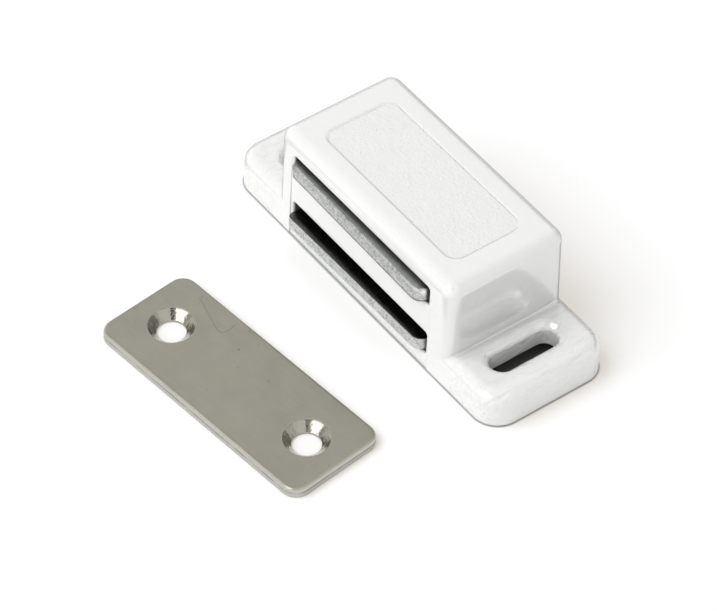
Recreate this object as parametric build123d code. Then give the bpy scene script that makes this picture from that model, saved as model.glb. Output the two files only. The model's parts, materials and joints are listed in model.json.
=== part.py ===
"""Magnetic cabinet catch: a moulded housing with a floating magnet pack, and its strike plate.

Millimetres, +Z up. The origin is the middle of the housing's mounting face. X runs along the
housing from ear to ear, and the pole plates look out of the front, towards -Y.
"""
from build123d import *
import math
import os

# ---- Housing: a low base whose two ends are the screw ears, and a tall body on its middle
base_length = 52.0
base_depth = 17.75
ear_height = 4.8
ear_corner_radius = 3.4
ear_edge_radius = 1.6
body_length = 34.4
body_proud = 0.02            # how far the body's front and back stand out of the base's
body_height = 15.8
body_corner_radius = 2.0
body_edge_radius = 1.6
mould_draft = 1.35           # degrees, on every outer wall
foot_chamfer = 0.15          # round the base's outer foot
front_wall = 1.6
back_wall = 1.8
top_wall = 2.1
core_draft = 0.4             # degrees, on the walls of the pocket
core_corner_radius = 0.6
overlap = 0.5                # how far ribs run into a wall and tools run past one

# ---- Shallow label panel in the top, left bare
panel_length = 26.1
panel_width = 10.8
panel_depth = 0.18
panel_corner_radius = 1.9
panel_x = 0.15
panel_y = -0.1
panel_slope = 60.0           # degrees from upright, on the panel's edge

# ---- Front window: two slots in a band that a side core of the mould leaves
window_x = -0.33             # the window and the pocket lie a little off the middle
slot_side_play = 0.27        # past each end of a pole plate, when the plate is in the middle
upper_slot_play_above = 0.6
upper_slot_play_below = 0.2
lower_slot_play_above = 1.35
lower_slot_play_below = 0.15
slot_corner_radius = 0.35
slot_lip_radius = 0.3
band_step = 0.12             # depth of the band at its foot, and none at its top
band_margin = 0.5            # past the ends and the top of the slots

# ---- Screw slots in the ears, which run across the housing
ear_slot_width = 3.1
ear_slot_length = 9.6
ear_slot_lip = 0.75
ear_slot_lip_corner = 0.22   # taken off both edges of the lip's slope
ear_slot_x = 20.45
ear_top_wall = 3.3
ear_rim = 1.8                # wall round the hollow under an ear
ear_hollow_gap = 0.5         # from the foot of the body's end wall to the hollow

# ---- Pole plates, zinc-plated steel
plate_thickness = 1.95
plate_front_width = 26.0
plate_length = 15.7
plate_nose = 3.25            # from the front edge to the shoulders
plate_shoulder = 0.85
plate_corner_radius = 1.5    # at the end that the die rounds
plate_tight_radius = 0.7     # at the other end
plate_roll_radius = 0.5      # rolled edge of the upper plate, which lies rolled side up
plate_burr_radius = 0.15     # the other side of the same edge, uppermost on the lower plate
plate_reach = 0.9            # how far a plate stands out of the front wall
upper_plate_skew = -0.87     # degrees, the plates lie a little askew on the magnet
lower_plate_skew = 0.85

# ---- Magnet, one ferrite block
magnet_inset = 0.45          # from each end of a plate to the magnet's end
magnet_front_play = 0.8
magnet_rear_play = 1.0
magnet_chamfer = 0.3

# ---- Where the pack sits in its pocket
pack_x = -0.45               # the pack lies to one side of its play
pack_floor = 2.35            # underside of the lower plate above the mounting face
pack_side_play = 0.4
pack_top_play = 0.1
pack_headroom = 1.1          # from the upper plate to the pocket's ceiling, between the ribs
ceiling_rib_width = 1.0
ceiling_rib_start = 1.0      # behind the front wall
ceiling_rib_spacing = 8.0
lug_length = 4.0
lug_overhang = 0.8
lug_height = 1.8
lug_lip = 0.35               # upright part of a lug above its lead-in slope
lug_spacing = 7.0
lug_play = 0.05              # under the lower plate

# ---- Strike plate, nickel-plated steel, which lies in front of the housing
strike_length = 34.8
strike_width = 13.8
strike_thickness = 1.4
strike_corner_radius = 2.0
strike_edge_radius = 0.55
strike_hole = 3.6
strike_countersink = 5.8
strike_hole_spacing = 23.7
strike_x = 3.1
strike_y = -28.6
strike_turn = 6.5            # degrees

# ---- Worked out from the sizes above
draft_run = math.tan(math.radians(mould_draft))
body_depth = base_depth + 2 * body_proud
front_face = -body_depth / 2
pocket_front = front_face + front_wall
pocket_back = base_depth / 2 - back_wall
plate_rear_width = plate_front_width + 2 * plate_shoulder
pocket_length = plate_rear_width + 2 * pack_side_play
slot_length = plate_front_width + 2 * slot_side_play
pocket_ceiling = body_height - top_wall
magnet_length = plate_rear_width - 2 * magnet_inset
magnet_height = pocket_ceiling - pack_headroom - pack_floor - 2 * plate_thickness
lower_plate_top = pack_floor + plate_thickness
upper_plate_bottom = lower_plate_top + magnet_height
upper_plate_top = upper_plate_bottom + plate_thickness


def wall_y(z):
    """The drafted front wall's place at height z."""
    return front_face + draft_run * z


def drafted_block(length, depth, height, corner_radius, draft):
    """A block on the plane z = 0 with rounded corners and walls that lean in."""
    outline = RectangleRounded(length, depth, corner_radius)
    return extrude(outline, amount=height, taper=draft)


def rounded_top(block, radius):
    """Rounds the edges all round the block's top face."""
    top_face = block.faces().sort_by(Axis.Z)[-1]
    return fillet(top_face.edges(), radius)


def broken_foot(block):
    """Breaks the sharp edge all round the block's foot."""
    foot = block.faces().sort_by(Axis.Z)[0]
    return chamfer(foot.edges(), foot_chamfer)


def outer_form():
    """The ears and the body, with the edges that the mould rounds."""
    base = drafted_block(base_length, base_depth, ear_height, ear_corner_radius, mould_draft)
    base = rounded_top(base, ear_edge_radius)
    base = broken_foot(base)
    body = drafted_block(body_length, body_depth, body_height, body_corner_radius, mould_draft)
    body = rounded_top(body, body_edge_radius)
    body = broken_foot(body)
    return base + body


def label_panel():
    """The tool for the shallow panel, wide at the top and narrower at its floor."""
    outline = RectangleRounded(panel_length, panel_width, panel_corner_radius)
    placed = Plane.XY.offset(body_height) * Pos(panel_x, panel_y) * outline
    return extrude(placed, amount=-panel_depth, taper=panel_slope)


def magnet_pocket():
    """The pocket for the magnet pack, open at the mounting face."""
    depth = pocket_back - pocket_front
    middle = (pocket_back + pocket_front) / 2
    core = drafted_block(pocket_length, depth, pocket_ceiling, core_corner_radius, core_draft)
    return Pos(window_x, middle, 0) * core


def window_slot(bottom, top):
    """The tool for one slot, with rounded ends, cut through the front wall."""
    height = top - bottom
    outline = RectangleRounded(slot_length, height, slot_corner_radius)
    placed = Plane.XZ.offset(-pocket_front - overlap) * Pos(window_x, (bottom + top) / 2) * outline
    return extrude(placed, amount=front_wall + 2 * overlap)


def window_slots():
    """The bottom and the top of the lower slot and of the upper slot."""
    lower = (pack_floor - lower_slot_play_below, lower_plate_top + lower_slot_play_above)
    upper = (upper_plate_bottom - upper_slot_play_below, upper_plate_top + upper_slot_play_above)
    return lower, upper


def rounded_slot_lips(housing):
    """Softens the outer edge of each slot, all the way round."""
    for bottom, top in window_slots():
        lip = [
            edge
            for edge in housing.edges()
            if edge.center().Y < wall_y(edge.center().Z) + band_step + 0.01
            and abs(edge.center().X - window_x) < slot_length / 2 + 0.01
            and bottom - 0.01 < edge.center().Z < top + 0.01
        ]
        housing = fillet(lip, slot_lip_radius)
    return housing


def window_band(top):
    """The tool for the band, a thin wedge off the front wall that runs out above the slots."""
    half = slot_length / 2 + band_margin
    corners = [
        (wall_y(0) + band_step, 0),
        (wall_y(top), top),
        (wall_y(top) - overlap, top),
        (wall_y(0) - overlap, 0),
    ]
    section = Plane.YZ.offset(window_x - half) * make_face(Polyline(*corners, close=True))
    return extrude(section, amount=2 * half)


def ear_slot(side):
    """The tool for one screw slot, which runs across the housing."""
    outline = Rot(0, 0, 90) * SlotOverall(ear_slot_length, ear_slot_width)
    return extrude(Pos(side * ear_slot_x, 0, 0) * outline, amount=ear_height)


def ear_lip_edges(housing, level, width):
    """The edges of both screw slots at one height, where the slots are as wide as given."""
    return [
        edge
        for edge in housing.edges()
        if abs(edge.center().Z - level) < 0.01
        and abs(abs(edge.center().X) - ear_slot_x) < width / 2 + 0.01
        and abs(edge.center().Y) < ear_slot_length / 2 + ear_slot_lip + 0.01
    ]


def rounded_ear_lips(housing):
    """Softens the upper edge of both screw slots, where the screw heads bear."""
    sharp = ear_lip_edges(housing, ear_height, ear_slot_width)
    housing = chamfer(sharp, ear_slot_lip)
    outer = ear_lip_edges(housing, ear_height, ear_slot_width + 2 * ear_slot_lip)
    inner = ear_lip_edges(housing, ear_height - ear_slot_lip, ear_slot_width)
    return chamfer(outer + inner, ear_slot_lip_corner)


def ear_hollow(side):
    """The hollow under one ear, which keeps the moulding's walls even."""
    inner = body_length / 2 + ear_hollow_gap
    outer = base_length / 2 - ear_rim
    outline = RectangleRounded(outer - inner, base_depth - 2 * ear_rim, ear_corner_radius - ear_rim)
    placed = Pos(side * (inner + outer) / 2, 0, 0) * outline
    return extrude(placed, amount=ear_height - ear_top_wall, taper=core_draft)


def ceiling_ribs():
    """Ribs under the top wall, which stop the pack just above the upper plate."""
    foot = upper_plate_top + pack_top_play
    head = pocket_ceiling + overlap
    front = pocket_front + ceiling_rib_start
    back = pocket_back + overlap
    ribs = Part()
    for step in (-1, 0, 1):
        place = Pos(step * ceiling_rib_spacing, (front + back) / 2, (foot + head) / 2)
        ribs += place * Box(ceiling_rib_width, back - front, head - foot)
    return ribs


def snap_lugs():
    """Lugs low on the pocket's end walls, which the lower plate snaps past and rests on."""
    wall = pocket_length / 2
    top = pack_floor - lug_play
    section = [
        (wall - lug_overhang, top),
        (wall + overlap, top),
        (wall + overlap, top - lug_height),
        (wall, top - lug_height),
        (wall - lug_overhang, top - lug_lip),
    ]
    lugs = Part()
    middle = (pocket_back + pocket_front) / 2
    for along in (middle - lug_spacing / 2, middle + lug_spacing / 2):
        face = Plane.XZ.offset(-along - lug_length / 2) * make_face(Polyline(*section, close=True))
        lug = extrude(face, amount=lug_length)
        lugs += Pos(window_x, 0, 0) * lug
        lugs += Pos(window_x, 0, 0) * mirror(lug, about=Plane.YZ)
    return lugs


def build_housing():
    """The white moulding, all one piece."""
    housing = outer_form()
    housing -= magnet_pocket()
    housing -= window_band(upper_plate_top + upper_slot_play_above + band_margin)
    for bottom, top in window_slots():
        housing -= window_slot(bottom, top)
    housing = rounded_slot_lips(housing)
    for side in (-1, 1):
        housing -= ear_hollow(side)
        housing -= ear_slot(side)
    housing = rounded_ear_lips(housing)
    housing += ceiling_ribs()
    housing += snap_lugs()
    housing -= label_panel()
    return housing


def build_pole_plate(bottom, skew, upper_radius, lower_radius):
    """One pole plate: a narrow front that fills its slot, and shoulders that keep it in."""
    front = wall_y(bottom + plate_thickness / 2) - plate_reach
    shoulder = front + plate_nose
    back = front + plate_length
    middle = (front + back) / 2
    nose = Pos(0, (front + shoulder) / 2) * Rectangle(plate_front_width, shoulder - front)
    tail = Pos(0, (shoulder + back) / 2) * Rectangle(plate_rear_width, back - shoulder)
    outline = nose + tail
    for end, radius in ((-1, plate_corner_radius), (0, plate_tight_radius)):
        front_corners = outline.vertices().group_by(Axis.Y)[0].sort_by(Axis.X)
        outline = fillet(front_corners[end], radius)
    plate = extrude(outline, amount=plate_thickness)
    for level, radius in ((-1, upper_radius), (0, lower_radius)):
        level_edges = plate.edges().group_by(Axis.Z)[level]
        front_edges = [edge for edge in level_edges if edge.center().Y < shoulder - overlap]
        plate = fillet(front_edges, radius)
    return Pos(pack_x, middle, bottom) * Rot(0, 0, skew) * Pos(0, -middle, 0) * plate


def build_magnet():
    """The ferrite block between the pole plates."""
    front = pocket_front + magnet_front_play
    back = pocket_back - magnet_rear_play
    place = Pos(pack_x, (front + back) / 2, lower_plate_top + magnet_height / 2)
    block = Box(magnet_length, back - front, magnet_height)
    block = chamfer(block.edges().filter_by(Axis.Z), magnet_chamfer)
    return place * block


def build_strike_plate():
    """The flat plate that is screwed to the door, with two countersunk holes."""
    outline = RectangleRounded(strike_length, strike_width, strike_corner_radius)
    plate = extrude(outline, amount=strike_thickness)
    plate = fillet(plate.faces().sort_by(Axis.Z)[-1].edges(), strike_edge_radius)
    sink_depth = (strike_countersink - strike_hole) / 2
    for side in (-1, 1):
        place = Pos(side * strike_hole_spacing / 2, 0, 0)
        plate -= place * Cylinder(strike_hole / 2, 3 * strike_thickness)
        cone = Cone(strike_hole / 2, strike_countersink / 2, sink_depth)
        plate -= place * Pos(0, 0, strike_thickness - sink_depth / 2) * cone
    return Pos(strike_x, strike_y, 0) * Rot(0, 0, strike_turn) * plate


os.makedirs("parts", exist_ok=True)
pieces = {
    "housing": build_housing(),
    "pole_plate_upper": build_pole_plate(
        upper_plate_bottom, upper_plate_skew, plate_roll_radius, plate_burr_radius
    ),
    "pole_plate_lower": build_pole_plate(
        pack_floor, lower_plate_skew, plate_burr_radius, plate_roll_radius
    ),
    "magnet": build_magnet(),
    "strike_plate": build_strike_plate(),
}
for name, piece in pieces.items():
    export_step(piece, f"parts/{name}.step")
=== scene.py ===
"""The looks of a magnetic cabinet catch and its strike plate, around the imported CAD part.

Everything is in metres, in the frame of the CAD part: +X runs along the housing from ear to ear,
the pole plates look out of the front, towards -Y, and the mounting face lies on z = 0.
"""
import json
import math

import bmesh
import bpy
from mathutils import Matrix, Vector


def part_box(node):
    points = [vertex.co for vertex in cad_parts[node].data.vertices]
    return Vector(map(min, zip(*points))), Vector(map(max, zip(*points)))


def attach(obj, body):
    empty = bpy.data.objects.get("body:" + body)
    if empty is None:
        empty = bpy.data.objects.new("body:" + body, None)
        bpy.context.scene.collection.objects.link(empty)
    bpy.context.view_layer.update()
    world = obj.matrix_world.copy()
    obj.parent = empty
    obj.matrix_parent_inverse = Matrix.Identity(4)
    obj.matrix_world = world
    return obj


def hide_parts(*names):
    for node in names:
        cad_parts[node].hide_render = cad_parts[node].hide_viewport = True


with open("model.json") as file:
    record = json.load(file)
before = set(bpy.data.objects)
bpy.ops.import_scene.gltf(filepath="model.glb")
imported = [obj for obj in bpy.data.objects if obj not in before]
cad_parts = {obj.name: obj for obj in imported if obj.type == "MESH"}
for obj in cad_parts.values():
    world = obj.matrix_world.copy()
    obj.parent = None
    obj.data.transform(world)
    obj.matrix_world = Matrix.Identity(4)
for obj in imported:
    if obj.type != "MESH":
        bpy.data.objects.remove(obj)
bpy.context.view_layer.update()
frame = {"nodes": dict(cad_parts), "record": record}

bl_info = {
    "name": "Magnetic Catch",
    "version": (1, 0, 0),
    "blender": (4, 5, 0),
    "location": "View3D > Sidebar > Catch",
    "description": "Dresses a magnetic cabinet catch and its strike plate, and sets up their stage",
    "category": "Object",
}

MM = 0.001
SAME_PLACE = 0.002 * MM       # points closer than this are one

# Sizes of the CAD part that its frame doesn't give
MOULD_DRAFT = math.radians(1.35)
EAR_SLOT_X = 20.45 * MM       # from the middle of the housing to the middle of an ear's slot
EAR_EDGE = 1.6 * MM           # radius of the ears' rounded top edge
EAR_FLAT = 7.2 * MM           # how far from the middle the ears' top stays flat
WALL_FLAT = 6.895 * MM        # the same for a body's end wall, at the ears' top
WALL_CORNER = 1.98 * MM       # radius of the body's upright corner there
BODY_REACH = 17.5 * MM        # a little past the body's end walls
SINK_REACH = 2.9 * MM         # radius of a countersink at the strike plate's top
STRIKE_TURN = math.radians(6.5)     # how far the strike plate is turned about Z
PANEL_MIDDLE = (0.15 * MM, -0.1 * MM)
POCKET_MIDDLE = (-0.65 * MM, 6.0 * MM)        # the magnet's pocket, in y and z
POCKET_HALF = (13.9 * MM, 7.75 * MM, 7.7 * MM)
SHAFT_MIDDLE_Z = 2.0 * MM                     # the walls of an ear's slot
SHAFT_HALF = (1.75 * MM, 5.0 * MM, 2.6 * MM)


# ------------------------------------------------------------------ node helpers

def new_material(name):
    """An empty node material with its output and its Principled shader."""
    material = bpy.data.materials.new(name)
    material.use_nodes = True
    tree = material.node_tree
    tree.nodes.clear()
    output = tree.nodes.new("ShaderNodeOutputMaterial")
    shader = tree.nodes.new("ShaderNodeBsdfPrincipled")
    tree.links.new(shader.outputs["BSDF"], output.inputs["Surface"])
    return material, tree, shader


def new_group(name, inputs, outputs):
    """A shader node group with its sockets, its tree and its two end nodes."""
    tree = bpy.data.node_groups.new(name, "ShaderNodeTree")
    for label, kind, value in inputs:
        socket = tree.interface.new_socket(label, in_out="INPUT", socket_type=kind)
        if value is not None:
            socket.default_value = value
    for label, kind in outputs:
        tree.interface.new_socket(label, in_out="OUTPUT", socket_type=kind)
    return tree, tree.nodes.new("NodeGroupInput"), tree.nodes.new("NodeGroupOutput")


def put(tree, kind, settings=None, **inputs):
    """Adds a node, sets its properties, and feeds its inputs with numbers or with other sockets."""
    node = tree.nodes.new(kind)
    for key, value in (settings or {}).items():
        setattr(node, key, value)
    for key, value in inputs.items():
        feed(tree, node, key.replace("_", " "), value)
    return node


def feed(tree, node, key, value):
    """Sets one input of a node, by its name or its number."""
    socket = node.inputs[int(key[1:])] if key[0] == "n" and key[1:].isdigit() else node.inputs[key]
    if isinstance(value, bpy.types.NodeSocket):
        tree.links.new(value, socket)
    else:
        socket.default_value = value


def maths(tree, operation, first, second=None, clamp=False):
    """One sum on one or two values."""
    node = put(tree, "ShaderNodeMath", {"operation": operation, "use_clamp": clamp}, n0=first)
    if second is not None:
        feed(tree, node, "n1", second)
    return node.outputs[0]


def times(tree, first, second):
    """The product of two values."""
    return maths(tree, "MULTIPLY", first, second)


def vectors(tree, operation, first, second=None):
    """One sum on one or two vectors; SCALE takes a vector and a number."""
    node = put(tree, "ShaderNodeVectorMath", {"operation": operation}, n0=first)
    if second is not None:
        feed(tree, node, "Scale" if operation == "SCALE" else "n1", second)
    return node.outputs["Value" if operation in ("DOT_PRODUCT", "LENGTH", "DISTANCE") else "Vector"]


def split(tree, vector):
    """The parts of a vector, as the outputs X, Y and Z."""
    return put(tree, "ShaderNodeSeparateXYZ", Vector=vector).outputs


def spread(tree, value, low, high, out_low=0.0, out_high=1.0):
    """Maps a value from one range to another with soft ends, clamped."""
    node = put(tree, "ShaderNodeMapRange", {"interpolation_type": "SMOOTHSTEP"}, Value=value,
               From_Min=low, From_Max=high, To_Min=out_low, To_Max=out_high)
    return node.outputs["Result"]


def blend_value(tree, factor, first, second):
    """Mixes two values by a factor."""
    return put(tree, "ShaderNodeMix", n0=factor, n2=first, n3=second).outputs[0]


def blend_colour(tree, factor, first, second):
    """Mixes two colours by a factor."""
    return put(tree, "ShaderNodeMix", {"data_type": "RGBA"}, n0=factor, n6=first, n7=second).outputs[2]


def blend_shader(tree, factor, first, second):
    """Mixes two shaders by a factor."""
    return put(tree, "ShaderNodeMixShader", n0=factor, n1=first, n2=second).outputs[0]


def noise(tree, vector, scale, detail=2.0, roughness=0.5, distortion=0.0):
    """One noise texture; scale counts patterns in a metre."""
    node = put(tree, "ShaderNodeTexNoise", Vector=vector, Scale=scale, Detail=detail,
               Roughness=roughness, Distortion=distortion)
    return node.outputs["Fac"]


def object_place(tree):
    """The object coordinates."""
    return tree.nodes.new("ShaderNodeTexCoord").outputs["Object"]


def levelness(tree):
    """How level the surface lies on its object: 1 where it faces up or down, 0 on the sides."""
    normal = tree.nodes.new("ShaderNodeTexCoord").outputs["Normal"]
    return maths(tree, "ABSOLUTE", split(tree, normal)["Z"])


def rgba(colour, factor=1.0):
    """A colour times a factor, as the four numbers that a socket takes."""
    return (*(part * factor for part in tuple(colour)[:3]), 1.0)


# ------------------------------------------------------------------ shared effects

def grain_group():
    """Fine grain on object coordinates: a height and a mask from two noises of different size."""
    tree, start, end = new_group(
        "Fine Grain",
        [("Scale", "NodeSocketFloat", 4000.0), ("Coarse Share", "NodeSocketFloat", 0.3)],
        [("Height", "NodeSocketFloat")])
    where = object_place(tree)
    fine = noise(tree, where, start.outputs["Scale"], 3.0, 0.6)
    coarse = noise(tree, where, times(tree, start.outputs["Scale"], 0.3), 2.0)
    mixed = blend_value(tree, start.outputs["Coarse Share"], fine, coarse)
    tree.links.new(mixed, end.inputs["Height"])
    return tree


def edge_group():
    """A mask of the convex edges, from the bend between the true normal and a rounded one."""
    tree, start, end = new_group(
        "Edge Mask",
        [("Radius", "NodeSocketFloat", 0.0003), ("Strength", "NodeSocketFloat", 6.0)],
        [("Mask", "NodeSocketFloat")])
    bevel = put(tree, "ShaderNodeBevel", {"samples": 6}, Radius=start.outputs["Radius"])
    geometry = tree.nodes.new("ShaderNodeNewGeometry")
    dot = vectors(tree, "DOT_PRODUCT", bevel.outputs["Normal"], geometry.outputs["True Normal"])
    bend = maths(tree, "SUBTRACT", 1.0, dot)
    mask = maths(tree, "MULTIPLY", bend, start.outputs["Strength"], clamp=True)
    tree.links.new(mask, end.inputs["Mask"])
    return tree


def box_group():
    """A soft mask of a box on object coordinates, given its middle, half size and soft edge."""
    tree, start, end = new_group(
        "Box Mask",
        [("Middle", "NodeSocketVector", None), ("Half Size", "NodeSocketVector", None),
         ("Soft", "NodeSocketFloat", 0.0001)],
        [("Mask", "NodeSocketFloat")])
    where = object_place(tree)
    away = vectors(tree, "SUBTRACT", where, start.outputs["Middle"])
    size = vectors(tree, "ABSOLUTE", away)
    inside = vectors(tree, "SUBTRACT", start.outputs["Half Size"], size)
    parts = split(tree, inside)
    least = maths(tree, "MINIMUM", maths(tree, "MINIMUM", parts["X"], parts["Y"]), parts["Z"])
    soft = start.outputs["Soft"]
    mask = spread(tree, least, times(tree, soft, -1.0), soft)
    tree.links.new(mask, end.inputs["Mask"])
    return tree


def foot_group():
    """How far a point lies outside an upright outline with rounded corners, in metres."""
    tree, start, end = new_group(
        "Outline Distance",
        [("Middle", "NodeSocketVector", None), ("Half Size", "NodeSocketVector", None),
         ("Corner", "NodeSocketFloat", 0.0034)],
        [("Distance", "NodeSocketFloat")])
    where = object_place(tree)
    away = vectors(tree, "SUBTRACT", where, start.outputs["Middle"])
    size = vectors(tree, "ABSOLUTE", away)
    past = vectors(tree, "SUBTRACT", size, start.outputs["Half Size"])
    parts = split(tree, past)
    corner = start.outputs["Corner"]
    x = maths(tree, "ADD", parts["X"], corner)
    y = maths(tree, "ADD", parts["Y"], corner)
    inner = maths(tree, "MINIMUM", maths(tree, "MAXIMUM", x, y), 0.0)
    flat = put(tree, "ShaderNodeCombineXYZ", X=maths(tree, "MAXIMUM", x, 0.0),
               Y=maths(tree, "MAXIMUM", y, 0.0))
    outer = vectors(tree, "LENGTH", flat.outputs[0])
    total = maths(tree, "ADD", inner, outer)
    tree.links.new(maths(tree, "SUBTRACT", total, corner), end.inputs["Distance"])
    return tree


def brush_group():
    """Long brush lines in one direction: noise stretched along an axis after a turn about Z."""
    tree, start, end = new_group(
        "Brush Lines",
        [("Turn", "NodeSocketVector", None), ("Stretch", "NodeSocketVector", (1.0, 20.0, 20.0)),
         ("Scale", "NodeSocketFloat", 300.0)],
        [("Lines", "NodeSocketFloat")])
    where = object_place(tree)
    turned = put(tree, "ShaderNodeVectorRotate", {"rotation_type": "EULER_XYZ"}, Vector=where,
                 Rotation=start.outputs["Turn"])
    stretched = vectors(tree, "MULTIPLY", turned.outputs[0], start.outputs["Stretch"])
    lines = noise(tree, stretched, start.outputs["Scale"], 4.0, 0.6)
    tree.links.new(lines, end.inputs["Lines"])
    return tree


def flow_group():
    """Wavy streaks that the melt leaves where it parts round the two screw slots."""
    tree, start, end = new_group(
        "Flow Marks",
        [("Scale", "NodeSocketFloat", 1300.0), ("Warp", "NodeSocketFloat", 0.9)],
        [("Height", "NodeSocketFloat")])
    where = object_place(tree)
    parts = split(tree, where)
    drawn = vectors(tree, "MULTIPLY", where, (1.0, 0.28, 0.5))
    waves = noise(tree, drawn, start.outputs["Scale"], 2.0, 0.45, start.outputs["Warp"])
    side = spread(tree, maths(tree, "ABSOLUTE", parts["X"]), 17.0 * MM, 18.5 * MM)
    low = spread(tree, parts["Z"], 7.0 * MM, 5.2 * MM)
    tree.links.new(times(tree, waves, times(tree, side, low)), end.inputs["Height"])
    return tree


EFFECTS = {
    "Fine Grain": grain_group,
    "Edge Mask": edge_group,
    "Box Mask": box_group,
    "Outline Distance": foot_group,
    "Brush Lines": brush_group,
    "Flow Marks": flow_group,
}


def place_group(tree, effect, **inputs):
    """Places a shared effect with its own values; its group is made when first asked for."""
    group = bpy.data.node_groups.get(effect) or EFFECTS[effect]()
    return put(tree, "ShaderNodeGroup", {"node_tree": group}, **inputs)


def bump(tree, shader, height, normal=None):
    """Feeds the shader's normal from a height in metres."""
    node = put(tree, "ShaderNodeBump", Height=height, Distance=1.0, Strength=1.0)
    if normal is not None:
        tree.links.new(normal, node.inputs["Normal"])
    tree.links.new(node.outputs["Normal"], shader.inputs["Normal"])


# ------------------------------------------------------------------ settings

def colour_property(name, description, default):
    """A colour that a user may change."""
    return bpy.props.FloatVectorProperty(
        name=name, description=description, default=default, size=3, min=0.0, max=1.0,
        subtype="COLOR")


def length_property(name, description, default):
    """A length in metres that a user may change."""
    return bpy.props.FloatProperty(
        name=name, description=description, default=default, min=0.0, unit="LENGTH", precision=5)


def share_property(name, description, default):
    """A share from 0 to 1 that a user may change."""
    return bpy.props.FloatProperty(
        name=name, description=description, default=default, min=0.0, max=1.0, subtype="FACTOR")


def angle_property(name, description, degrees):
    """An angle that a user may change."""
    return bpy.props.FloatProperty(
        name=name, description=description, default=math.radians(degrees), unit="ROTATION")


class CatchHousingSettings(bpy.types.PropertyGroup):
    """Colours and texture sizes of the moulded housing."""

    plastic: colour_property("Plastic", "Colour of the white moulding", (0.872, 0.872, 0.855))
    # Painted shade: the pocket colour darkens the white plastic inside the magnet's pocket, where shade
    # falls
    pocket: colour_property("Pocket", "Colour of the plastic inside the magnet's pocket",
                            (0.16, 0.16, 0.155))
    mirrored: share_property(
        "Mirrored", "How much darker the plastic is in its own reflections", 0.7)
    ear_top: length_property("Ear top", "Height of the ears' flat top", 4.8 * MM)
    root_radius: length_property("Root radius", "Radius between an end wall and its ear", 0.3 * MM)
    back_root_radius: length_property("Back root radius", "Radius of the root at its back end",
                                      0.65 * MM)
    panel_half_length: length_property("Panel half length", "Half the label panel's length", 12.8 * MM)
    panel_half_width: length_property("Panel half width", "Half the label panel's width", 5.15 * MM)
    panel_grain: length_property("Panel grain", "Height of the texture in the label panel", 0.24 * MM)
    skin_grain: length_property("Skin grain", "Height of the moulded skin's texture", 0.05 * MM)
    flow_depth: length_property("Flow depth", "Depth of the flow marks round the screw slots", 0.3 * MM)


class CatchSteelSettings(bpy.types.PropertyGroup):
    """Colours and edges of the pole plates, the magnet and the strike plate."""

    zinc: colour_property("Zinc", "Colour of the plated pole plates", (0.74, 0.758, 0.735))
    # Painted shade: the rolled flats are darkened to stand in for the dark slot that they mirror
    painted_flat_shade: share_property(
        "Flat shade", "How much of the zinc's colour the rolled flats keep", 0.3)
    # Painted light: the upper plate's flats are set lighter because more light reaches them; no grease
    # dulls the lower plate
    painted_upper_shade: share_property(
        "Upper shade", "The same for the upper plate, which less grease has dulled", 1.0)
    plate_step: length_property("Plate step", "Step along the pole plates' outline", 0.16 * MM)
    tear_depth: length_property("Tear depth", "Depth of the torn part of a sheared edge", 0.07 * MM)
    drag_depth: length_property("Drag depth", "Depth of the drag lines on a sheared edge", 0.025 * MM)
    nick_depth: length_property("Nick depth", "Depth of the nicks in a plate's arris", 0.14 * MM)
    ferrite: colour_property("Ferrite", "Colour of the magnet", (0.028, 0.028, 0.031))
    nickel: colour_property("Nickel", "Colour of the strike plate", (0.545, 0.531, 0.444))


class CatchStageSettings(bpy.types.PropertyGroup):
    """The floor, the lights and the camera."""

    floor: colour_property("Floor", "Colour of the floor", (0.8, 0.8, 0.79))
    shadow: colour_property("Shadow", "How much of the shadow shows on the white floor",
                            (0.8, 0.87, 1.0))
    beyond: share_property(
        "Beyond", "How much darker the gloss sees the floor behind the housing", 0.75)
    foot_corner: length_property("Foot corner", "Corner radius of the housing's foot", 3.4 * MM)
    # Painted shade: a dark line on the floor round the housing's foot stands in for its contact shadow
    painted_contact_shadow: length_property("Contact", "Width of the dark line round the housing's foot", 0.22 * MM)
    sky: bpy.props.FloatProperty(
        name="Sky", description="Strength of the soft light from all round", default=0.7, min=0.0)
    key: bpy.props.FloatProperty(
        name="Key", description="Power of the key lamp in watts", default=3.45, min=0.0)
    front: bpy.props.FloatProperty(
        name="Front", description="Power of the near lamp in front, in watts", default=0.022, min=0.0)
    azimuth: angle_property("Azimuth", "Camera's turn about Z, from the front", 52.2451)
    elevation: angle_property("Elevation", "Camera's height above the horizon", 46.8561)
    roll: angle_property("Roll", "Camera's turn about its own axis", 1.8399)
    distance: length_property("Distance", "From the camera to what it looks at", 0.4712)
    lens: bpy.props.FloatProperty(
        name="Lens", description="Focal length in millimetres, for a 36 mm sensor",
        default=201.13, min=1.0)


# ------------------------------------------------------------------ materials

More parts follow.
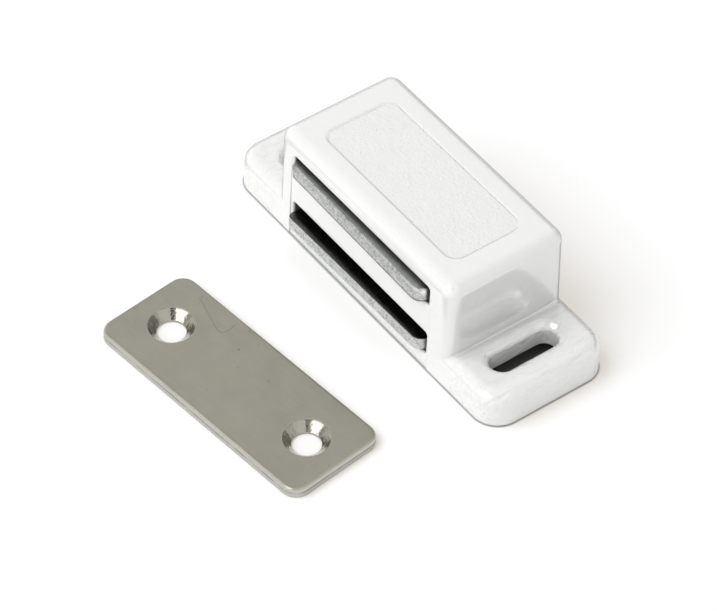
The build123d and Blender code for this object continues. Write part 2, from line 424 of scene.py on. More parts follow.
def moulded_plastic(settings, name, rounding):
    """Glossy white moulding, with a fine skin and a coarser texture on the label panel's floor."""
    material, tree, shader = new_material(name)
    where = object_place(tree)
    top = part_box("housing")[1].z
    grain = place_group(tree, "Fine Grain", Scale=2300.0, Coarse_Share=0.3)
    skin = noise(tree, where, 900.0, 3.0, 0.55)
    panel = place_group(tree, "Box Mask", Middle=(*PANEL_MIDDLE, top - 0.2 * MM),
                        Half_Size=(settings.panel_half_length, settings.panel_half_width,
                                   0.11 * MM), Soft=0.08 * MM)
    fine = times(tree, grain.outputs["Height"], settings.panel_grain)
    fine = times(tree, fine, panel.outputs["Mask"])
    soft = times(tree, skin, settings.skin_grain)
    flow = place_group(tree, "Flow Marks")
    flow = times(tree, flow.outputs["Height"], settings.flow_depth)
    rounded = put(tree, "ShaderNodeBevel", {"samples": 6}, Radius=rounding)
    bump(tree, shader, maths(tree, "ADD", maths(tree, "ADD", fine, soft), flow),
         normal=rounded.outputs["Normal"])
    mottle = spread(tree, noise(tree, where, 260.0, 4.0, 0.6), 0.3, 0.7)
    tint = blend_colour(tree, times(tree, mottle, 0.5), rgba(settings.plastic),
                        rgba(settings.plastic, 0.975))
    # Painted shade: the plastic inside the magnet's pocket is darkened to the pocket colour
    low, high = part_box("magnet")
    pocket = place_group(tree, "Box Mask", Middle=((low.x + high.x) / 2, *POCKET_MIDDLE),
                         Half_Size=POCKET_HALF, Soft=0.15 * MM)
    tint = blend_colour(tree, pocket.outputs["Mask"], tint, rgba(settings.pocket))
    # Painted light: the walls of the ears' screw slots are lightened to near white and kept out of the
    # darkening in reflections
    painted_light_shafts = 0.0
    for side in (-1, 1):
        painted_light_shaft = place_group(tree, "Box Mask", Middle=(side * EAR_SLOT_X, 0.0, SHAFT_MIDDLE_Z),
                            Half_Size=SHAFT_HALF, Soft=0.2 * MM)
        painted_light_shafts = maths(tree, "MAXIMUM", painted_light_shafts, painted_light_shaft.outputs["Mask"])
    tint = blend_colour(tree, painted_light_shafts, tint, (0.98, 0.98, 0.97, 1.0))
    path = tree.nodes.new("ShaderNodeLightPath")
    mirrored = times(tree, path.outputs["Is Glossy Ray"], settings.mirrored)
    mirrored = times(tree, mirrored, maths(tree, "SUBTRACT", 1.0, painted_light_shafts))
    tint = blend_colour(tree, mirrored, tint, (0.0, 0.0, 0.0, 1.0))
    tree.links.new(tint, shader.inputs["Base Color"])
    rough = spread(tree, mottle, 0.0, 1.0, 0.2, 0.27)
    rough = maths(tree, "ADD", rough, times(tree, panel.outputs["Mask"], 0.16))
    tree.links.new(rough, shader.inputs["Roughness"])
    shader.inputs["IOR"].default_value = 1.53
    shader.inputs["Coat Weight"].default_value = 1.0
    shader.inputs["Coat Roughness"].default_value = 0.09
    shader.inputs["Coat IOR"].default_value = 2.25
    shader.inputs["Subsurface Weight"].default_value = 0.2
    shader.inputs["Subsurface Radius"].default_value = (1.0, 0.95, 0.9)
    shader.inputs["Subsurface Scale"].default_value = 1.0 * MM
    return material


def zinc_steel(settings):
    """Zinc-plated sheet steel: smooth rolled flats, and grainy grey edges where it is sheared."""
    material, tree, shader = new_material("zinc_plated_steel")
    where = object_place(tree)
    z = split(tree, where)["Z"]
    level = levelness(tree)
    sheared = spread(tree, level, 0.995, 0.95)
    turned = spread(tree, level, 0.98, 0.15)
    brush = place_group(tree, "Brush Lines", Stretch=(1.0, 14.0, 14.0), Scale=420.0)
    shears = place_group(tree, "Brush Lines", Stretch=(1.0, 1.0, 0.3), Scale=2600.0)
    grain = place_group(tree, "Fine Grain", Scale=6000.0, Coarse_Share=0.35)
    edges = place_group(tree, "Edge Mask", Radius=0.2 * MM, Strength=4.0)
    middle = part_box("magnet")[0].z + 2.0 * MM
    # Painted shade: lit and shaded copies of the zinc, darker on the lower plate's flats and lighter on
    # the upper plate's
    flat = blend_colour(tree, spread(tree, z, middle, middle + 1.0 * MM),
                        rgba(settings.zinc, settings.painted_flat_shade),
                        rgba(settings.zinc, settings.painted_upper_shade))
    stain = spread(tree, noise(tree, where, 900.0, 5.0, 0.75, 0.3), 0.35, 0.7)
    tint = blend_colour(tree, turned, flat, rgba(settings.zinc))
    tint = blend_colour(tree, times(tree, stain, 0.35), tint,
                        rgba(settings.zinc, 0.5))
    specks = spread(tree, grain.outputs["Height"], 0.38, 0.54, 0.54, 0.0)
    tint = blend_colour(tree, times(tree, specks, sheared), tint, (0.05, 0.05, 0.05, 1.0))
    tint = blend_colour(tree, times(tree, edges.outputs["Mask"], 0.15), tint,
                        (0.7, 0.71, 0.71, 1.0))
    # Painted highlight: a near-white patch, with lower roughness, on the top of the upper plate's
    # right-hand corner
    low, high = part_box("pole_plate_upper")
    gap = vectors(tree, "DISTANCE", where, (high.x - 1.1 * MM, low.y + 1.6 * MM, high.z - 0.1 * MM))
    painted_corner_glint = spread(tree, gap, 1.3 * MM, 0.7 * MM)
    tint = blend_colour(tree, painted_corner_glint, tint, (0.95, 0.955, 0.95, 1.0))
    # Painted shade: a dark line along the foot of each plate stands in for the shadow under it; it is
    # no burr
    burr = 0.0
    for name in ("pole_plate_upper", "pole_plate_lower"):
        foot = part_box(name)[0].z
        low = spread(tree, z, foot + 0.3 * MM, foot + 0.14 * MM)
        above = spread(tree, z, foot - 0.2 * MM, foot - 0.1 * MM)
        burr = maths(tree, "MAXIMUM", burr, times(tree, low, above))
    tint = blend_colour(tree, times(tree, burr, 0.8), tint, (0.06, 0.06, 0.06, 1.0))
    tree.links.new(tint, shader.inputs["Base Color"])
    shader.inputs["Metallic"].default_value = 1.0
    smooth = spread(tree, brush.outputs["Lines"], 0.3, 0.7, 0.16, 0.26)
    smooth = maths(tree, "ADD", smooth, spread(tree, z, middle, middle + 1.0 * MM, 0.0, 0.2))
    rough = blend_value(tree, sheared, smooth, 0.5)
    rough = blend_value(tree, painted_corner_glint, rough, 0.3)
    tree.links.new(rough, shader.inputs["Roughness"])
    torn = maths(tree, "ADD", times(tree, shears.outputs["Lines"], 0.03 * MM),
                 times(tree, grain.outputs["Height"], 0.03 * MM))
    height = maths(tree, "ADD", times(tree, brush.outputs["Lines"], 0.003 * MM),
                   times(tree, torn, sheared))
    bump(tree, shader, height)
    return material


def ferrite_block(settings):
    """Dark sintered ferrite, ground on its flats, with pale dust in its pores."""
    material, tree, shader = new_material("ground_ferrite")
    where = object_place(tree)
    grain = place_group(tree, "Fine Grain", Scale=3800.0, Coarse_Share=0.4)
    edges = place_group(tree, "Edge Mask", Radius=0.2 * MM, Strength=4.0)
    dust = spread(tree, noise(tree, where, 700.0, 4.0, 0.7), 0.5, 0.75)
    worn = maths(tree, "MAXIMUM", times(tree, dust, 0.3), times(tree, edges.outputs["Mask"], 0.4))
    tint = blend_colour(tree, worn, rgba(settings.ferrite), (0.11, 0.11, 0.115, 1.0))
    tree.links.new(tint, shader.inputs["Base Color"])
    tree.links.new(spread(tree, grain.outputs["Height"], 0.3, 0.7, 0.45, 0.7),
                   shader.inputs["Roughness"])
    bump(tree, shader, times(tree, grain.outputs["Height"], 0.015 * MM))
    return material


# The scratch in the strike plate's top: a straight drag, then a round hook and a short tail
SCRATCH_START = Vector((-13.5 * MM, 3.9 * MM, 0.0))    # from the middle of the plate
SCRATCH_HEADING = math.radians(-13.0)
SCRATCH_DRAG = 5.6 * MM
HOOK_RADIUS = 0.75 * MM
HOOK_TURN = math.radians(115.0)
HOOK_STEPS = 5
SCRATCH_TAIL = 1.4 * MM
SCRATCH_WIDTH = 0.06 * MM


def scratch_path():
    """The points of the scratch, one straight move after another."""
    low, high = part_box("strike_plate")
    bend = HOOK_TURN / HOOK_STEPS
    chord = 2 * HOOK_RADIUS * math.sin(bend / 2)
    point, heading = (low + high) / 2 + SCRATCH_START, SCRATCH_HEADING
    path = [point]
    for length, turn in [(SCRATCH_DRAG, 0.0)] + [(chord, bend)] * HOOK_STEPS + [(SCRATCH_TAIL, 0.0)]:
        way = heading + turn / 2
        point = point + Vector((math.cos(way), math.sin(way), 0.0)) * length
        path.append(point)
        heading += turn
    return path


def hairline(tree, where, path, width):
    """A thin line along a path of points, seen from above."""
    flat = vectors(tree, "MULTIPLY", where, (1.0, 1.0, 0.0))
    nearest = 1.0
    for start, stop in zip(path, path[1:]):
        run = stop - start
        away = vectors(tree, "SUBTRACT", flat, (start.x, start.y, 0.0))
        along = vectors(tree, "DOT_PRODUCT", away, run / run.length_squared)
        share = maths(tree, "ADD", along, 0.0, clamp=True)
        gap = vectors(tree, "DISTANCE", away, vectors(tree, "SCALE", run, share))
        nearest = maths(tree, "MINIMUM", nearest, gap)
    return spread(tree, nearest, width, width * 0.15)


def polished_sinks(tree, where):
    """A mask of the two countersinks below the plate's top, and the waves their cutter leaves."""
    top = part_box("strike_plate")[1].z
    mask, waves = 0.0, 0.0
    for mount in frame["record"]["mounts"]:
        if not mount["name"].startswith("strike_bore"):
            continue
        x, y, _ = mount["pos_m"]
        away = vectors(tree, "SUBTRACT", where, (x, y, 0.0))
        parts = split(tree, away)
        flat = put(tree, "ShaderNodeCombineXYZ", X=parts["X"], Y=parts["Y"])
        reach = vectors(tree, "LENGTH", flat.outputs[0])
        near = times(tree, spread(tree, reach, SINK_REACH + 0.08 * MM, SINK_REACH),
                     spread(tree, parts["Z"], top - 0.02 * MM, top - 0.08 * MM))
        angle = maths(tree, "ARCTAN2", parts["Y"], parts["X"])
        ripple = maths(tree, "SINE", times(tree, angle, 7.0))
        mask = maths(tree, "MAXIMUM", mask, near)
        waves = maths(tree, "ADD", waves, times(tree, ripple, near))
    uneven = noise(tree, where, 900.0, 3.0, 0.6, 0.8)
    waves = maths(tree, "ADD", times(tree, waves, 0.15), times(tree, uneven, mask))
    return mask, waves


def satin_nickel(settings):
    """Satin nickel plate over stamped steel, with soft stains and a hairline scratch."""
    material, tree, shader = new_material("satin_nickel_plate")
    where = object_place(tree)
    z = split(tree, where)["Z"]
    brush = place_group(tree, "Brush Lines", Stretch=(1.0, 8.0, 8.0),
                        Turn=(0.0, 0.0, -STRIKE_TURN), Scale=300.0)
    grain = place_group(tree, "Fine Grain", Scale=3400.0, Coarse_Share=0.4)
    edges = place_group(tree, "Edge Mask", Radius=0.2 * MM, Strength=5.0)
    stain = spread(tree, noise(tree, where, 190.0, 5.0, 0.6, 0.4), 0.35, 0.7)
    tint = blend_colour(tree, times(tree, stain, 0.5), rgba(settings.nickel),
                        rgba(settings.nickel, 0.86))
    tint = blend_colour(tree, times(tree, edges.outputs["Mask"], 0.5), tint,
                        (0.74, 0.73, 0.69, 1.0))
    side = spread(tree, levelness(tree), 0.6, 0.25)
    tint = blend_colour(tree, side, tint, (0.53, 0.525, 0.5, 1.0))
    wave = times(tree, noise(tree, where, 240.0, 3.0), 0.3 * MM)
    away = maths(tree, "ABSOLUTE", maths(tree, "SUBTRACT", maths(tree, "ADD", z, wave), 0.85 * MM))
    seam = times(tree, spread(tree, away, 0.2 * MM, 0.05 * MM), side)
    broken = spread(tree, noise(tree, where, 420.0, 3.0, 0.6, 0.2), 0.38, 0.6, 0.2, 0.7)
    tint = blend_colour(tree, times(tree, seam, broken), tint, (0.2, 0.18, 0.15, 1.0))
    fleck = spread(tree, noise(tree, where, 1100.0, 3.0, 0.6), 0.68, 0.76)
    tint = blend_colour(tree, times(tree, fleck, 0.5), tint, (0.27, 0.26, 0.21, 1.0))
    scratch = hairline(tree, where, scratch_path(), SCRATCH_WIDTH)
    tint = blend_colour(tree, times(tree, scratch, 0.6), tint, (0.2, 0.19, 0.165, 1.0))
    sink, chatter = polished_sinks(tree, where)
    # Painted shade: the countersinks are darkened in colour
    tint = blend_colour(tree, times(tree, sink, 0.3), tint, (0.1, 0.1, 0.09, 1.0))
    tree.links.new(tint, shader.inputs["Base Color"])
    shader.inputs["Metallic"].default_value = 1.0
    rough = spread(tree, brush.outputs["Lines"], 0.3, 0.7, 0.34, 0.46)
    rough = blend_value(tree, sink, rough, 0.13)
    tree.links.new(rough, shader.inputs["Roughness"])
    height = maths(tree, "ADD", times(tree, brush.outputs["Lines"], 0.004 * MM),
                   times(tree, grain.outputs["Height"], 0.004 * MM))
    height = maths(tree, "ADD", height, times(tree, chatter, 0.09 * MM))
    bump(tree, shader, height)
    return material


def dress(names, material):
    """Gives CAD nodes their material."""
    for name in names:
        node = frame["nodes"][name]
        for index in range(len(node.material_slots)):
            node.material_slots[index].material = material
        if not node.material_slots:
            node.data.materials.append(material)


# ------------------------------------------------------------------ pieces

def new_object(name, points, faces, material, flat=()):
    """A mesh object with smooth faces, all but the flat ones, and with its normals outward."""
    mesh = bpy.data.meshes.new(name)
    mesh.from_pydata([tuple(p) for p in points], [], faces)
    for index, face in enumerate(mesh.polygons):
        face.use_smooth = index not in flat
    work = bmesh.new()
    work.from_mesh(mesh)
    bmesh.ops.recalc_face_normals(work, faces=work.faces)
    for edge in work.edges:
        edge.smooth = edge.calc_face_angle(0.0) < math.radians(50.0)
    work.to_mesh(mesh)
    work.free()
    mesh.materials.append(material)
    thing = bpy.data.objects.new(name, mesh)
    bpy.context.scene.collection.objects.link(thing)
    return thing


def skin(rows, closed):
    """Quads between rows of points that all have the same count."""
    count = len(rows[0])
    faces = []
    for r in range(len(rows) - 1):
        for i in range(count if closed else count - 1):
            j = (i + 1) % count
            faces.append((r * count + i, r * count + j, (r + 1) * count + j, (r + 1) * count + i))
    return faces


def upright_loop(name):
    """The outline of a stamped plate where its edge stands upright, in order, with its two levels."""
    work = bmesh.new()
    work.from_mesh(frame["nodes"][name].data)
    bmesh.ops.remove_doubles(work, verts=work.verts, dist=SAME_PLACE)
    levels = sorted({round(v.co.z, 6) for v in work.verts})
    low, high = max(zip(levels, levels[1:]), key=lambda pair: pair[1] - pair[0])
    ring = {v for v in work.verts if abs(v.co.z - low) < SAME_PLACE}
    beside = {v: [e.other_vert(v) for e in v.link_edges if e.other_vert(v) in ring] for v in ring}
    here = min((v for v in ring if len(beside[v]) == 1), key=lambda v: v.co.x, default=None)
    front = []
    while here is not None:
        front.append(here)
        here = next((v for v in beside[here] if v not in front), None)
    if len(front) != len(ring):
        raise RuntimeError(f"the front edge of {name} isn't one line")
    behind = max(front[0].co.y, front[-1].co.y) + 1.0 * MM
    rear = [v for v in work.verts if v.co.y > behind and abs(v.co.z - levels[0]) < SAME_PLACE]
    rear.sort(key=lambda v: -v.co.x)
    points = [Vector((v.co.x, v.co.y, 0.0)) for v in front + rear]
    work.free()
    return points, low, high


def resample(loop, spacing):
    """A closed outline in even steps, with its corners eased a little."""
    ends = loop[1:] + loop[:1]
    total = sum((b - a).length for a, b in zip(loop, ends))
    count = round(total / spacing)
    points, walked, due = [], 0.0, 0.0
    for a, b in zip(loop, ends):
        run = (b - a).length
        while len(points) < count and due <= walked + run:
            points.append(a.lerp(b, (due - walked) / run))
            due += total / count
        walked += run
    for _ in range(2):
        points = [(points[i - 1] + 2 * points[i] + points[(i + 1) % count]) / 4
                  for i in range(count)]
    return points


def inward(points):
    """The unit ways into a closed flat outline, at each of its points."""
    count = len(points)
    area = sum(points[i - 1].x * points[i].y - points[i].x * points[i - 1].y for i in range(count))
    turn = 1.0 if area > 0 else -1.0
    ways = []
    for i in range(count):
        run = (points[(i + 1) % count] - points[i - 1]).normalized()
        ways.append(Vector((-run.y, run.x, 0.0)) * turn)
    return ways


def torn_edge_tree():
    """Geometry nodes that drag and tear the sheared edge of a plate inward, and nick its arris."""
    tree = bpy.data.node_groups.new("Torn Edge", "GeometryNodeTree")
    face = tree.interface
    face.new_socket("Geometry", in_out="OUTPUT", socket_type="NodeSocketGeometry")
    face.new_socket("Geometry", in_out="INPUT", socket_type="NodeSocketGeometry")
    for label, kind in (("Break Level", "Float"), ("Break Side", "Float"), ("Tear Depth", "Float"),
                        ("Drag Depth", "Float"), ("Nick Depth", "Float"), ("Arris Level", "Float"),
                        ("Seed", "Float"), ("Material", "Material")):
        face.new_socket(label, in_out="INPUT", socket_type="NodeSocket" + kind)
    start, end = tree.nodes.new("NodeGroupInput"), tree.nodes.new("NodeGroupOutput")
    given = start.outputs
    where = tree.nodes.new("GeometryNodeInputPosition").outputs[0]
    normal = tree.nodes.new("GeometryNodeInputNormal").outputs[0]
    z = split(tree, where)["Z"]
    lean = split(tree, normal)["Z"]
    upright = spread(tree, maths(tree, "ABSOLUTE", lean), 0.8, 0.4)
    past = times(tree, maths(tree, "SUBTRACT", given["Break Level"], z), given["Break Side"])
    ragged = times(tree, gn_noise(tree, where, 700.0, given["Seed"]), 0.5 * MM)
    torn = spread(tree, maths(tree, "ADD", past, maths(tree, "SUBTRACT", ragged, 0.25 * MM)),
                  0.0, 0.12 * MM)
    tear = times(tree, gn_noise(tree, where, 3200.0, given["Seed"]), given["Tear Depth"])
    tear = times(tree, tear, torn)
    drawn = vectors(tree, "MULTIPLY", where, (1.0, 1.0, 0.12))
    drag = times(tree, gn_noise(tree, drawn, 2400.0, given["Seed"]), given["Drag Depth"])
    close = maths(tree, "ABSOLUTE", maths(tree, "SUBTRACT", z, given["Arris Level"]))
    nick = times(tree, spread(tree, close, 0.4 * MM, 0.02 * MM),
                 spread(tree, gn_noise(tree, drawn, 520.0, given["Seed"]), 0.56, 0.72))
    nick = times(tree, nick, given["Nick Depth"])
    depth = maths(tree, "ADD", maths(tree, "ADD", tear, drag), nick)
    depth = times(tree, times(tree, depth, upright), -1.0)
    flat = vectors(tree, "MULTIPLY", normal, (1.0, 1.0, 0.0))
    shift = vectors(tree, "SCALE", flat, depth)
    moved = put(tree, "GeometryNodeSetPosition", Geometry=given["Geometry"], Offset=shift)
    real = put(tree, "GeometryNodeRealizeInstances", Geometry=moved.outputs[0])
    done = put(tree, "GeometryNodeSetMaterial", Geometry=real.outputs[0],
               Material=given["Material"])
    tree.links.new(done.outputs[0], end.inputs["Geometry"])
    return tree


def gn_noise(tree, vector, scale, seed):
    """Noise with a seed, in a geometry tree."""
    node = put(tree, "ShaderNodeTexNoise", {"noise_dimensions": "4D"}, Vector=vector, W=seed,
               Scale=scale, Detail=3.0, Roughness=0.6)
    return node.outputs[0]


def grow(thing, tree, values):
    """Runs a geometry tree on an object and keeps its result as a plain mesh."""
    modifier = thing.modifiers.new(tree.name, "NODES")
    modifier.node_group = tree
    for item in tree.interface.items_tree:
        if item.item_type == "SOCKET" and item.in_out == "INPUT" and item.name in values:
            modifier[item.identifier] = values[item.name]
    thing.update_tag()
    bpy.context.view_layer.update()
    ready = thing.evaluated_get(bpy.context.evaluated_depsgraph_get())
    plain = bpy.data.meshes.new_from_object(ready)
    thing.modifiers.remove(modifier)
    plain.name = thing.data.name
    thing.data = plain


def make_plate(name, settings, rolled_up, seed, material):
    """One stamped pole plate: rolled over on one side, dragged, torn and burred on the other."""
    loop, low, high = upright_loop(name)
    foot, top = (corner.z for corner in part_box(name))
    points = resample(loop, settings.plate_step)
    ways = inward(points)
    roll, burr = (top - high, low - foot) if rolled_up else (low - foot, top - high)
    profile = [(roll * (1 - math.sin(a)), roll * (1 - math.cos(a)))
               for a in (math.radians(7.5 * k) for k in range(13))]
    steps = round((high - low) / (0.1 * MM))
    profile += [(0.0, roll + (high - low) * k / steps) for k in range(1, steps)]
    profile += [(burr * (1 - math.cos(a)), roll + high - low + burr * math.sin(a))
                for a in (math.radians(22.5 * k) for k in range(5))]
    rows = []
    for inset, down in profile:
        level = top - down if rolled_up else foot + down
        rows.append([p + way * inset + Vector((0.0, 0.0, level)) for p, way in zip(points, ways)])
    faces = skin(rows, True)
    count = len(points)
    flat = {len(faces), len(faces) + 1}
    faces += [tuple(range(count)), tuple(range((len(rows) - 1) * count, len(rows) * count))]
    plate = new_object(name + "_stamped", [p for row in rows for p in row], faces, material, flat)
    side = 1.0 if rolled_up else -1.0
    middle = (top + foot) / 2
    grow(plate, bpy.data.node_groups.get("Torn Edge") or torn_edge_tree(), {
        "Break Level": middle - side * 0.1 * MM, "Break Side": side, "Seed": float(seed),
        "Tear Depth": settings.tear_depth, "Drag Depth": settings.drag_depth,
        "Nick Depth": settings.nick_depth, "Arris Level": foot if rolled_up else top,
        "Material": material})
    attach(plate, "magnet_pack")
    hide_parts(name)


def make_roots(settings, material):
    """The soft hollow where each end wall of the body meets the top of its ear."""
    ear = settings.ear_top
    foot = max(v.co.x for v in frame["nodes"]["housing"].data.vertices
               if abs(v.co.z - ear) < 1e-5 and v.co.x < BODY_REACH)
    points, faces = [], []
    for side in (1, -1):
        rows = []
        for y, angle, radius in root_stations(settings):
            wall = Vector((foot - WALL_CORNER * (1 - math.cos(angle)),
                           y + WALL_CORNER * math.sin(angle), 0.0))
            out = Vector((math.cos(angle), math.sin(angle), 0.0))
            over = max(0.0, abs((wall + out * radius).y) - EAR_FLAT)
            ground = ear - (EAR_EDGE - math.sqrt(EAR_EDGE ** 2 - over ** 2))
            row = []
            for k in range(10):
                a = math.radians(10 * k)
                lean = radius * (1 - math.sin(a)) * math.tan(MOULD_DRAFT)
                row.append(wall + out * (radius * (1 - math.cos(a)) - lean)
                           + Vector((0.0, 0.0, ground + radius * (1 - math.sin(a)))))
            row.append(wall - out * 0.06 * MM + Vector((0.0, 0.0, ground - 0.06 * MM)))
            rows.append([Vector((p.x * side, p.y, p.z)) for p in row])
        start, count = len(points), len(rows[0])
        points += [p for row in rows for p in row]
        faces += [tuple(start + i for i in quad) for quad in skin(rows, True)]
        faces += [tuple(range(start, start + count)),
                  tuple(range(len(points) - count, len(points)))]
    roots = new_object("ear_roots", points, faces, material)
    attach(roots, "housing")


def root_stations(settings):
    """Where the root's sections stand: y of the wall's end, turn round the corner, and radius."""
    end, swing = WALL_FLAT, math.radians(52.0)
    arc = [swing * k / 14 for k in range(1, 15)]
    small, large = settings.root_radius, settings.back_root_radius
    faded = [(a, 0.04 + 0.96 * math.cos(a / swing * math.pi / 2) ** 1.5) for a in arc]
    front = [(-end, -a, small * share) for a, share in reversed(faded)]
    straight = []
    for k in range(-15, 16):
        share = min(1.0, max(0.0, (k / 15 - 0.3) / 0.7))
        straight.append((end * k / 15, 0.0, small + (large - small) * share ** 2))
    return front + straight + [(end, a, large * share) for a, share in faded]


# ------------------------------------------------------------------ operators

class CATCH_OT_housing(bpy.types.Operator):
    """Dress the moulded housing in glossy white plastic, and soften the roots of its ears"""

    bl_idname = "catch.housing"
    bl_label = "Housing"

    def execute(self, context):
        settings = context.scene.catch_housing
        dress(["housing"], moulded_plastic(settings, "moulded_white_plastic", 0.25 * MM))
        make_roots(settings, moulded_plastic(settings, "moulded_white_root", 0.0))
        return {"FINISHED"}


class CATCH_OT_pack(bpy.types.Operator):
    """Stamp the two pole plates and dress them and the magnet between them"""

    bl_idname = "catch.pack"
    bl_label = "Magnet Pack"

    def execute(self, context):
        settings = context.scene.catch_steel
        zinc = zinc_steel(settings)
        make_plate("pole_plate_upper", settings, True, 3, zinc)
        make_plate("pole_plate_lower", settings, False, 8, zinc)
        dress(["magnet"], ferrite_block(settings))
        return {"FINISHED"}


class CATCH_OT_strike(bpy.types.Operator):
    """Dress the strike plate in satin nickel"""

    bl_idname = "catch.strike"
    bl_label = "Strike Plate"

    def execute(self, context):
        dress(["strike_plate"], satin_nickel(context.scene.catch_steel))
        return {"FINISHED"}


FLOOR_LIGHT = 1.02            # what a white floor gives back where nothing shades it


def floor_material(settings):
    """A pale floor that keeps the object's shadow, is white to the camera, and has painted shade
    underneath.

    The camera and the gloss see white with a lightened shadow on it. Soft light sees the plain
    colour, and none of the white reaches the floor that the housing hides.
    """
    material, tree, shader = new_material("studio_floor")
    output = next(node for node in tree.nodes if node.type == "OUTPUT_MATERIAL")
    low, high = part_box("housing")
    middle = (low + high) / 2
    inset = 1.5 * MM
    half = (high - low) / 2 + Vector((-inset, -inset, 1.0 * MM))
    # Painted shade: the floor that the housing hides is made nearly black, standing in for the shade
    # under it
    under = place_group(tree, "Box Mask", Middle=middle, Half_Size=half, Soft=0.2 * MM)
    outline = place_group(tree, "Outline Distance", Middle=middle, Half_Size=(high - low) / 2,
                          Corner=settings.foot_corner)
    painted_contact_shadow = spread(tree, outline.outputs["Distance"], settings.painted_contact_shadow, 0.0)
    tint = blend_colour(tree, under.outputs["Mask"], rgba(settings.floor), (0.09, 0.09, 0.09, 1.0))
    tree.links.new(tint, shader.inputs["Base Color"])
    shader.inputs["Roughness"].default_value = 0.9
    shader.inputs["Specular IOR Level"].default_value = 0.1
    path = tree.nodes.new("ShaderNodeLightPath")
    glossy = path.outputs["Is Glossy Ray"]
    keep = tuple(settings.shadow)
    share = sum(keep) / 3
    lit = put(tree, "ShaderNodeBsdfDiffuse", Color=blend_colour(
        tree, glossy, rgba([c / FLOOR_LIGHT for c in keep]), rgba([share / FLOOR_LIGHT] * 3)))
    white = put(tree, "ShaderNodeEmission", Strength=1.0, Color=blend_colour(
        tree, glossy, rgba([1.0 - c for c in keep]), rgba([1.0 - share] * 3)))
    shown = put(tree, "ShaderNodeAddShader", n0=white.outputs[0], n1=lit.outputs[0]).outputs[0]
    # Painted shade: the dark line round the housing's foot is a painted contact shadow
    line = put(tree, "ShaderNodeBsdfDiffuse", Color=(0.25, 0.25, 0.24, 1.0)).outputs[0]
    shown = blend_shader(tree, times(tree, painted_contact_shadow, 0.75), shown, line)
    parts = split(tree, object_place(tree))
    beyond = maths(tree, "MAXIMUM", spread(tree, parts["Y"], high.y, high.y + 4.0 * MM),
                   spread(tree, parts["X"], low.x, low.x - 4.0 * MM))
    beyond = times(tree, beyond, spread(tree, parts["X"], 19.0 * MM, 16.0 * MM))
    beyond = times(tree, times(tree, beyond, glossy), settings.beyond)
    dark = put(tree, "ShaderNodeBsdfDiffuse", Color=(0.1, 0.1, 0.1, 1.0)).outputs[0]
    shown = blend_shader(tree, beyond, shown, dark)
    seen = maths(tree, "MAXIMUM", path.outputs["Is Camera Ray"],
                 maths(tree, "MAXIMUM", glossy, path.outputs["Is Transmission Ray"]))
    seen = times(tree, seen, maths(tree, "SUBTRACT", 1.0, under.outputs["Mask"]))
    surface = blend_shader(tree, seen, shader.outputs[0], shown)
    tree.links.new(surface, output.inputs["Surface"])
    return material


def make_floor(settings):
    """A large flat floor just under the mounting face."""
    mesh = bpy.data.meshes.new("studio_floor")
    half, low = 1.6, -0.05 * MM
    mesh.from_pydata([(-half, -half, low), (half, -half, low), (half, half, low),
                      (-half, half, low)], [], [(0, 1, 2, 3)])
    mesh.materials.append(floor_material(settings))
    floor = bpy.data.objects.new("studio_floor", mesh)
    bpy.context.scene.collection.objects.link(floor)


def make_light(name, place, target, size, watts):
    """One soft square lamp that looks at a point."""
    lamp = bpy.data.lights.new(name, "AREA")
    lamp.shape = "RECTANGLE"
    lamp.size = lamp.size_y = size
    lamp.energy = watts
    thing = bpy.data.objects.new(name, lamp)
    thing.location = place
    thing.rotation_mode = "QUATERNION"
    thing.rotation_quaternion = (Vector(target) - Vector(place)).to_track_quat("-Z", "Y")
    thing.visible_glossy = False
    bpy.context.scene.collection.objects.link(thing)


AIM = (4.2308 * MM, -12.0807 * MM, 5.0 * MM)     # what the camera looks at


def make_camera(settings):
    """The camera, at its angle and distance from what it looks at."""
    camera = bpy.data.cameras.new("studio_camera")
    camera.sensor_fit = "HORIZONTAL"
    camera.sensor_width = 36.0
    camera.lens = settings.lens
    camera.clip_start, camera.clip_end = 0.01, 10.0
    thing = bpy.data.objects.new("studio_camera", camera)
    a, e = settings.azimuth, settings.elevation
    back = Vector((math.sin(a) * math.cos(e), -math.cos(a) * math.cos(e), math.sin(e)))
    right = Vector((math.cos(a), math.sin(a), 0.0))
    up = back.cross(right)
    c, s = math.cos(settings.roll), math.sin(settings.roll)
    turned = Matrix((right * c + up * s, up * c - right * s, back)).transposed()
    place = Matrix.Translation(Vector(AIM) + back * settings.distance)
    thing.matrix_world = place @ turned.to_4x4()
    bpy.context.scene.collection.objects.link(thing)
    bpy.context.scene.camera = thing


# What gloss sees in the studio: a way to look, where its edge starts and ends, and its shade
SOFTBOXES = (
    ((-0.3, -0.52, 0.8), 0.99, 0.7, 0.5),
    ((0.84, -0.02, 0.73), 0.95, 0.9, 1.0),
    ((0.02, -0.79, 0.61), 0.985, 0.93, 3.2),
    ((0.54, -0.42, 0.73), 0.992, 0.985, 0.06),
)


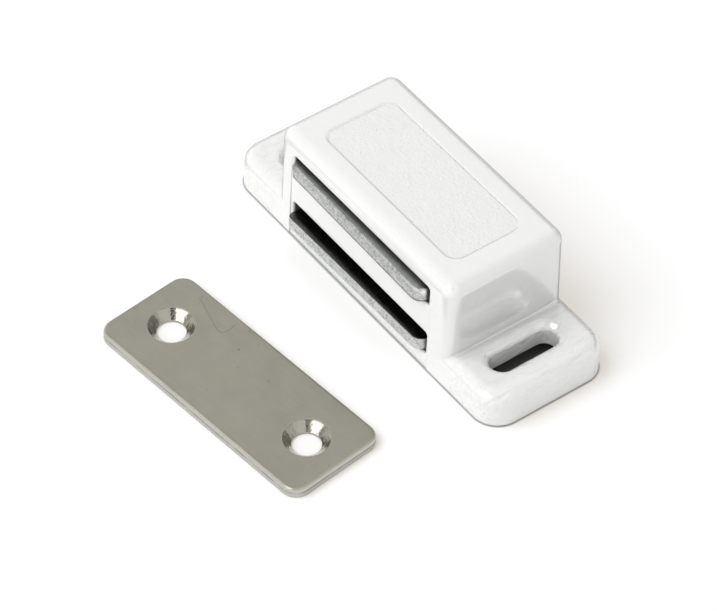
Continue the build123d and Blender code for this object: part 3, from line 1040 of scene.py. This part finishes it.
def make_world(settings):
    """Plain soft light from all round; gloss sees white at the horizon and a greyer sky above."""
    world = bpy.data.worlds.new("studio_world")
    bpy.context.scene.world = world
    world.use_nodes = True
    tree = world.node_tree
    tree.nodes.clear()
    output = tree.nodes.new("ShaderNodeOutputWorld")
    sight = tree.nodes.new("ShaderNodeTexCoord").outputs["Generated"]
    up = split(tree, sight)["Z"]
    strength = spread(tree, up, 0.1, 0.75, 1.0, 0.62)
    behind = vectors(tree, "DOT_PRODUCT", sight, (-0.5, 0.87, 0.0))
    back = times(tree, spread(tree, behind, 0.45, 0.8), spread(tree, up, 0.5, 0.2))
    strength = times(tree, strength, spread(tree, back, 0.0, 1.0, 1.0, 0.12))
    for way_to, near, far, shade in SOFTBOXES:
        lobe = vectors(tree, "DOT_PRODUCT", sight, Vector(way_to).normalized())
        strength = blend_value(tree, spread(tree, lobe, far, near), strength, shade)
    path = tree.nodes.new("ShaderNodeLightPath")
    mirrored = maths(tree, "MAXIMUM", path.outputs["Is Glossy Ray"],
                     path.outputs["Is Transmission Ray"])
    shown = blend_shader(tree, mirrored, glow(tree, settings.sky), glow(tree, strength))
    shown = blend_shader(tree, path.outputs["Is Camera Ray"], shown, glow(tree, 1.0))
    tree.links.new(shown, output.inputs["Surface"])


def glow(tree, strength):
    """White light from all round."""
    return put(tree, "ShaderNodeBackground", Color=(1.0, 1.0, 1.0, 1.0), Strength=strength).outputs[0]


class CATCH_OT_stage(bpy.types.Operator):
    """Set up the floor, the lights and the camera"""

    bl_idname = "catch.stage"
    bl_label = "Stage"

    def execute(self, context):
        settings = context.scene.catch_stage
        make_floor(settings)
        make_world(settings)
        make_light("key_light", (-0.24, -0.42, 0.64), (0, -0.01, 0), 0.6, settings.key)
        make_light("front_light", (0.03, -0.16, 0.1), (0, -0.01, 0.01), 0.12, settings.front)
        make_camera(settings)
        context.scene.view_settings.view_transform = "Standard"
        return {"FINISHED"}


class CATCH_PT_panel(bpy.types.Panel):
    """The catch's pieces and stage in the sidebar"""

    bl_idname = "CATCH_PT_panel"
    bl_label = "Magnetic Catch"
    bl_space_type = "VIEW_3D"
    bl_region_type = "UI"
    bl_category = "Catch"

    def draw(self, context):
        layout = self.layout
        for operator in OPERATORS:
            layout.operator(operator.bl_idname)
        for group in GROUPS:
            settings = getattr(context.scene, group)
            for key in settings.bl_rna.properties.keys():
                if key not in ("rna_type", "name"):
                    layout.prop(settings, key)


GROUPS = {
    "catch_housing": CatchHousingSettings,
    "catch_steel": CatchSteelSettings,
    "catch_stage": CatchStageSettings,
}
OPERATORS = (CATCH_OT_housing, CATCH_OT_pack, CATCH_OT_strike, CATCH_OT_stage)


def register():
    for group, kind in GROUPS.items():
        bpy.utils.register_class(kind)
        setattr(bpy.types.Scene, group, bpy.props.PointerProperty(type=kind))
    for kind in (*OPERATORS, CATCH_PT_panel):
        bpy.utils.register_class(kind)


def unregister():
    for kind in (CATCH_PT_panel, *reversed(OPERATORS)):
        bpy.utils.unregister_class(kind)
    for group, kind in reversed(GROUPS.items()):
        delattr(bpy.types.Scene, group)
        bpy.utils.unregister_class(kind)


def main():
    register()
    bpy.ops.catch.housing()
    bpy.ops.catch.pack()
    bpy.ops.catch.strike()
    bpy.ops.catch.stage()


if __name__ == "__main__":
    main()
